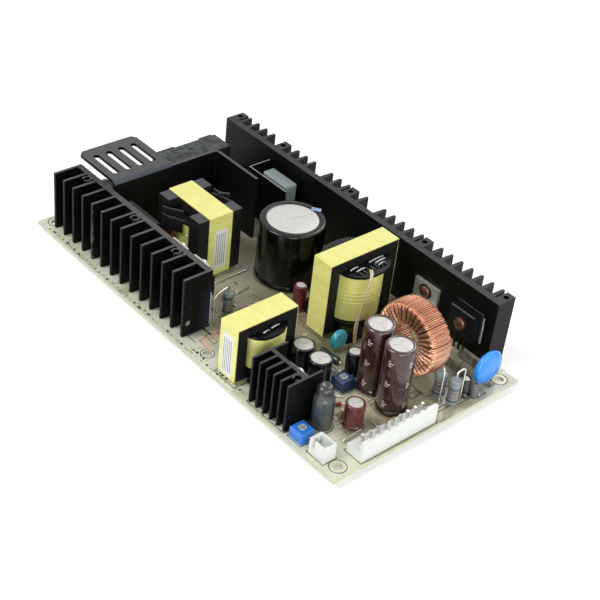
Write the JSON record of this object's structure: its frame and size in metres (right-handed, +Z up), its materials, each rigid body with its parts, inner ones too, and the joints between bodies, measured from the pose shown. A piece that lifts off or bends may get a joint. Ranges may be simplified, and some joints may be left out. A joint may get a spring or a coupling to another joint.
{
  "type": "open frame power supply",
  "caption": "Open frame power supply: a long circuit board with finned heatsinks, wound cores, capacitors, trimmers and row headers.",
  "frame": {"origin": "midway between the four corner holes, on the underside of the board", "axes": "+X along the board towards the output header, +Y across it towards the long heatsink, +Z up from the board"},
  "size_m": [0.2032, 0.1084, 0.0408],
  "materials": {
    "disc_blue": "gloss",
    "device_moulding": "satin",
    "can_aluminium": "satin",
    "black_sleeve": "gloss",
    "black_moulding": "satin",
    "ferrite": "matt",
    "yellow_tape": "gloss",
    "wrapped_winding": "gloss",
    "laminate": "satin",
    "mica": "satin",
    "plated_screw": "plated",
    "film_grey": "satin",
    "tinned_copper": "tinned",
    "tinned_pin": "tinned",
    "fuse_glass": "clear",
    "white_nylon": "satin",
    "disc_brown": "satin",
    "black_fibre": "matt",
    "black_anodised": "satin",
    "trimmer_blue": "gloss",
    "rotor_pale": "satin",
    "cream_wire": "gloss",
    "maroon_sleeve": "gloss",
    "brown_sleeve": "gloss",
    "resistor_lacquer": "satin",
    "shrink_tube": "gloss",
    "black_steel": "satin",
    "solder": "bright",
    "disc_teal": "gloss",
    "copper_wire": "enamelled"
  },
  "bodies": {
    "supply": {"blue_disc_capacitor": "disc_blue", "bridge_rectifier": "device_moulding", "bulk_capacitor_can": "can_aluminium", "bulk_capacitor_sleeve": "black_sleeve", "choke_bobbin": "black_moulding", "choke_core": "ferrite", "choke_tape": "yellow_tape", "choke_winding": "wrapped_winding", "circuit_board": "laminate", "device_pads": "mica", "device_screws": "plated_screw", "film_capacitor": "film_grey", "fuse_clips": "tinned_copper", "header_pins": "tinned_pin", "input_fuse": "fuse_glass", "input_header_housing": "white_nylon", "inrush_thermistor": "disc_brown", "insulating_sheet": "black_fibre", "jumper_wires": "tinned_copper", "left_heatsink": "black_anodised", "limit_trimmer_case": "trimmer_blue", "line_filter_capacitor": "black_moulding", "main_bobbin": "black_moulding", "main_core": "ferrite", "main_leads": "cream_wire", "main_tape": "yellow_tape", "main_winding": "wrapped_winding", "maroon_capacitor": "maroon_sleeve", "output_bus_bars": "tinned_copper", "output_capacitor_can_1": "can_aluminium", "output_capacitor_can_2": "can_aluminium", "output_capacitor_sleeve_1": "brown_sleeve", "output_capacitor_sleeve_2": "brown_sleeve", "output_header_housing": "white_nylon", "output_rectifier": "device_moulding", "output_transistor": "device_moulding", "resistor_1": "resistor_lacquer", "resistor_2": "resistor_lacquer", "resistor_3": "resistor_lacquer", "right_heatsink": "black_anodised", "rod_choke": "shrink_tube", "second_maroon_capacitor": "maroon_sleeve", "side_capacitor": "black_sleeve", "signal_header_housing": "white_nylon", "slotted_bracket": "black_steel", "small_capacitors": "black_sleeve", "small_heatsink": "black_anodised", "solder_tails": "solder", "standby_bobbin": "black_moulding", "standby_core": "ferrite", "standby_device": "device_moulding", "standby_tape": "yellow_tape", "standby_winding": "wrapped_winding", "switching_transistors": "device_moulding", "teal_disc_capacitor": "disc_teal", "toroid_core": "ferrite", "toroid_winding": "copper_wire", "voltage_trimmer_case": "trimmer_blue"},
    "voltage_rotor": {"voltage_trimmer_rotor": "rotor_pale"},
    "limit_rotor": {"limit_trimmer_rotor": "rotor_pale"}
  },
  "joints": [
    {"name": "voltage_adjust", "type": "hinge", "parent": "supply", "child": "voltage_rotor", "pos_m": [0.0765, -0.0452, 0.0065], "axis": [0, 0, 1], "range_deg": [-130, 130]},
    {"name": "limit_adjust", "type": "hinge", "parent": "supply", "child": "limit_rotor", "pos_m": [0.0633, -0.0122, 0.0065], "axis": [0, 0, 1], "range_deg": [-130, 130]}
  ]
}
